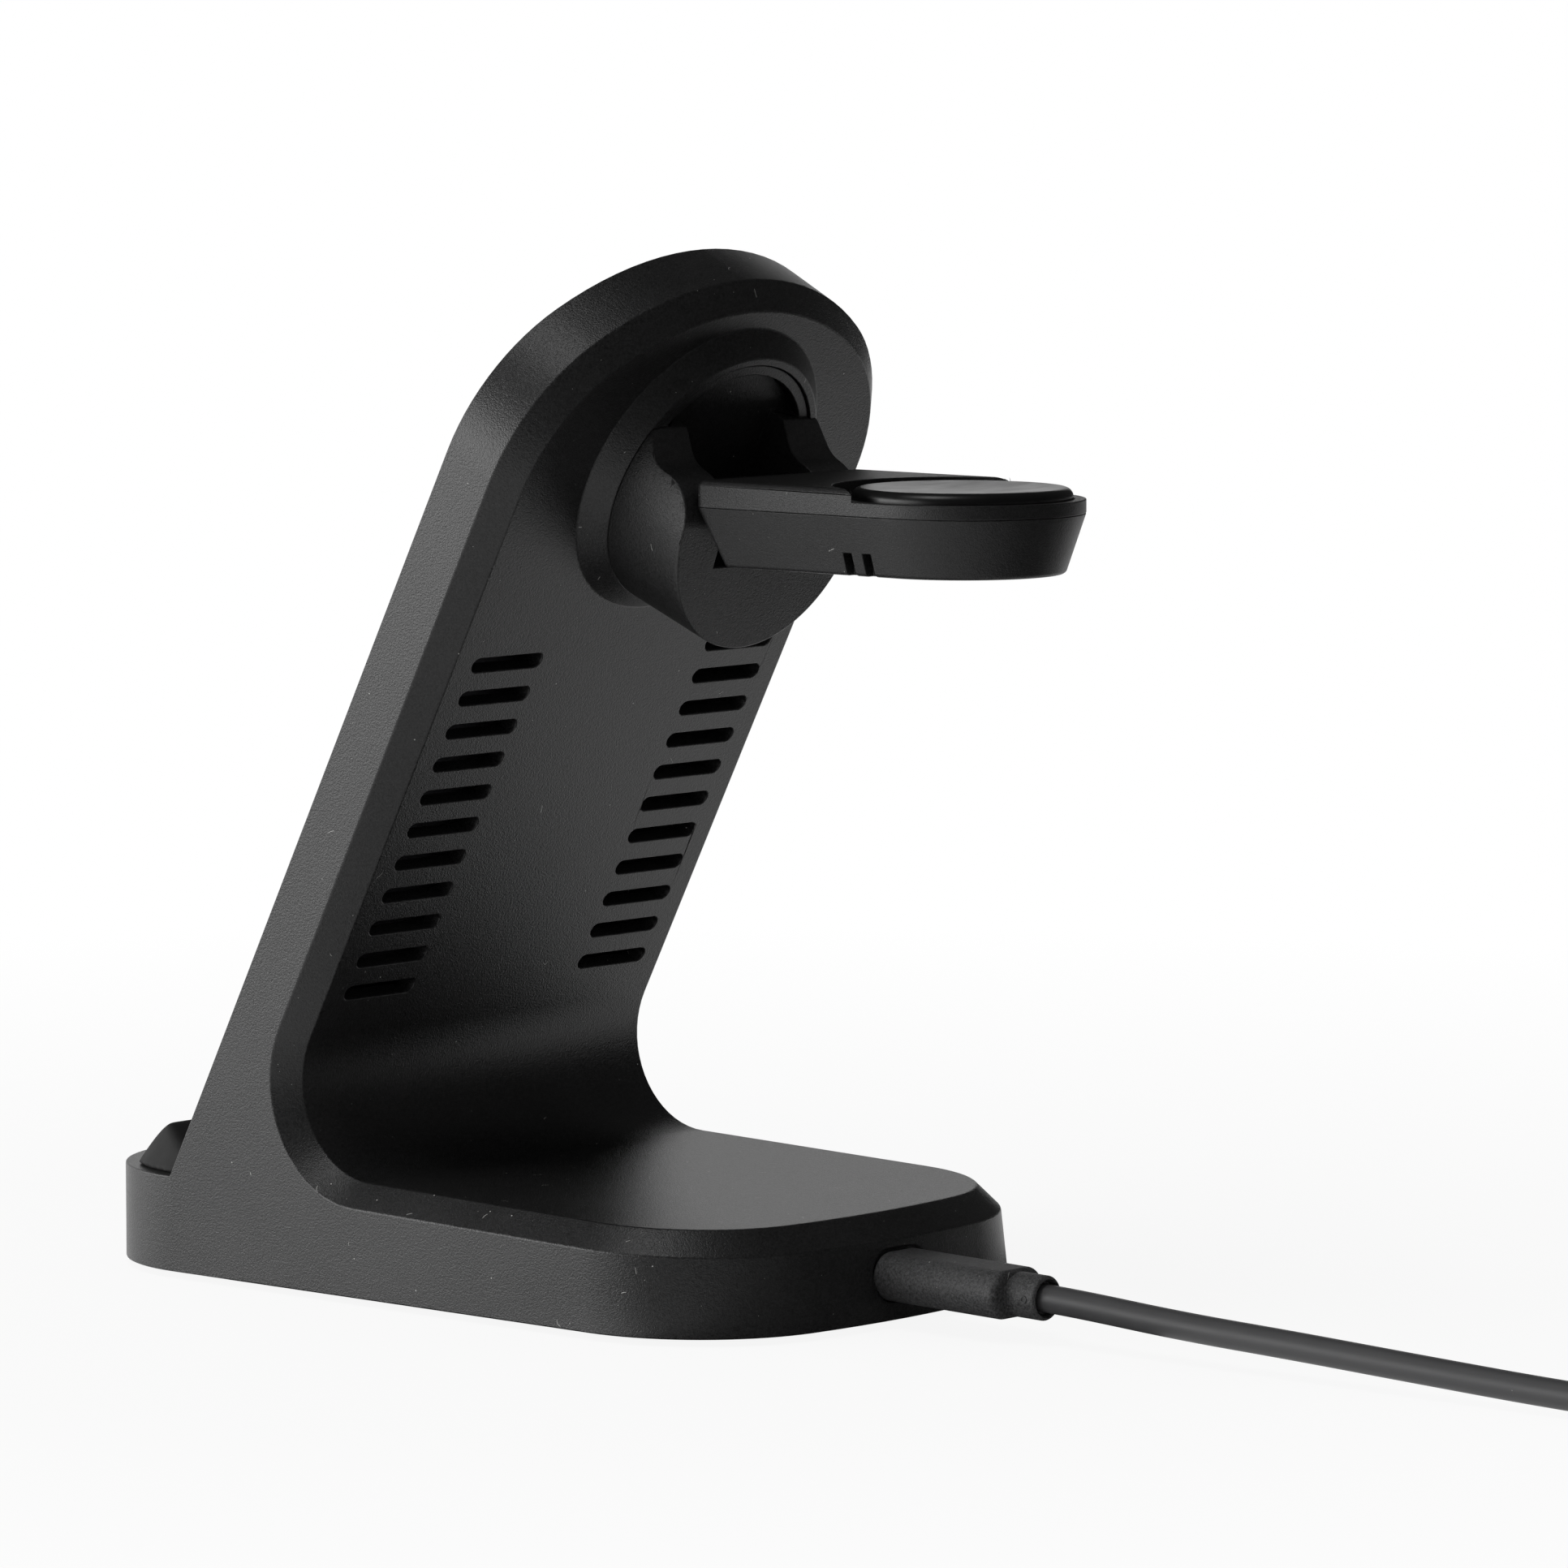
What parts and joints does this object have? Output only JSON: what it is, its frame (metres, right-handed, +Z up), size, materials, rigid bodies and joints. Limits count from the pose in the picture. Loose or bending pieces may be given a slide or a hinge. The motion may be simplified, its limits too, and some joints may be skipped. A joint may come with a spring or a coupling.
{
  "type": "three in one wireless charger",
  "caption": "Leaning wireless charging stand with a phone rest in front, an earbud deck behind, a folding watch arm on a round boss and a plugged-in cable coiled beside it.",
  "frame": {"origin": "on the table, under the middle of the base's length and width", "axes": "+Z up, +Y towards the back, where the earbud deck, the watch arm and the cable are, +X to the right seen from the front"},
  "size_m": [0.0922, 0.303, 0.1444],
  "materials": {
    "housing": "fine grained matte charcoal",
    "panel": "fine grained matte black",
    "arm": "satin charcoal",
    "puck": "polished black",
    "stop": "soft matte black",
    "foot": "matte dark grey",
    "steel": "plain",
    "winding": "copper litz winding",
    "ferrite": "dull dark grey",
    "board": "green solder resist",
    "block": "moulded black",
    "grip": "fine grained soft grey",
    "cord": "smooth dark grey sheath",
    "tie": "woven black"
  },
  "bodies": {
    "stand": {"main_housing": "housing", "front_panel": "panel", "bottom_cover": "panel", "feet": "foot", "cover_screws": "steel", "phone_stop": "stop", "hinge_bracket": "housing", "bracket_keeper": "panel", "keeper_screws": "steel", "hinge_pin": "steel", "hinge_washers": "steel", "phone_coil_upper": "winding", "phone_coil_lower": "winding", "phone_ferrite": "ferrite", "earbud_coil": "winding", "earbud_ferrite": "ferrite", "main_board": "board", "board_chips": "block", "board_inductors": "block", "port_socket": "steel", "plug_grip": "grip", "plug_shell": "steel", "cord_lead": "cord", "cord_coil": "cord", "cord_tail": "cord", "cord_tie": "tie", "far_plug_grip": "grip", "far_plug_shell": "steel"},
    "watch_arm": {"arm_shell": "arm", "arm_cover": "arm", "charging_disc": "puck", "watch_coil": "winding", "watch_magnet": "steel", "watch_ferrite": "ferrite"}
  },
  "joints": [
    {"name": "arm_fold", "type": "hinge", "parent": "stand", "child": "watch_arm", "pos_m": [0, 0.03268, 0.1094], "axis": [1, 0, 0], "range_deg": [0, 50]}
  ]
}
